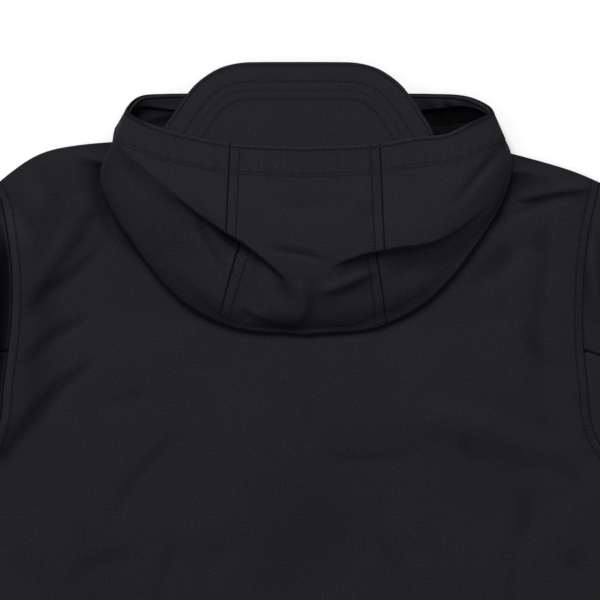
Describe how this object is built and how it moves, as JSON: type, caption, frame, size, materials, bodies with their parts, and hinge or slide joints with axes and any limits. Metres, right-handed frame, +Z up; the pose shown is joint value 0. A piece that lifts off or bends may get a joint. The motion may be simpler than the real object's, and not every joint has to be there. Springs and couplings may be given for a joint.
{
  "type": "hooded jacket",
  "caption": "Black softshell jacket with a stitched brim on its hood, zipped up and laid flat on its front with the hood turned down on its back.",
  "frame": {"origin": "middle of the jacket's outline, on the surface that it lies on", "axes": "+X to the wearer's right, +Y from hem to hood, +Z up from the surface towards the back of the jacket"},
  "size_m": [1.3482, 0.8003, 0.0268],
  "materials": {
    "softshell": "matt charcoal-black woven softshell",
    "softshell_inside": "matt black inside of the softshell",
    "zip_tape": "black woven zip tape",
    "zip_coil": "black nylon coil",
    "slider_paint": "black painted zip slider"
  },
  "bodies": {
    "root": {"back": "softshell", "front_left": "softshell", "front_right": "softshell", "sleeve_upper_left": "softshell", "sleeve_upper_right": "softshell", "sleeve_under_left": "softshell", "sleeve_under_right": "softshell", "hood_centre": "softshell", "hood_side_left": "softshell", "hood_side_right": "softshell", "hood_brim_upper": "softshell", "hood_brim_under": "softshell", "hood_facing_left": "softshell_inside", "hood_facing_right": "softshell_inside", "zip_tape_left": "zip_tape", "zip_tape_right": "zip_tape", "zip_chain": "zip_coil", "zip_slider": "slider_paint"}
  },
  "joints": []
}
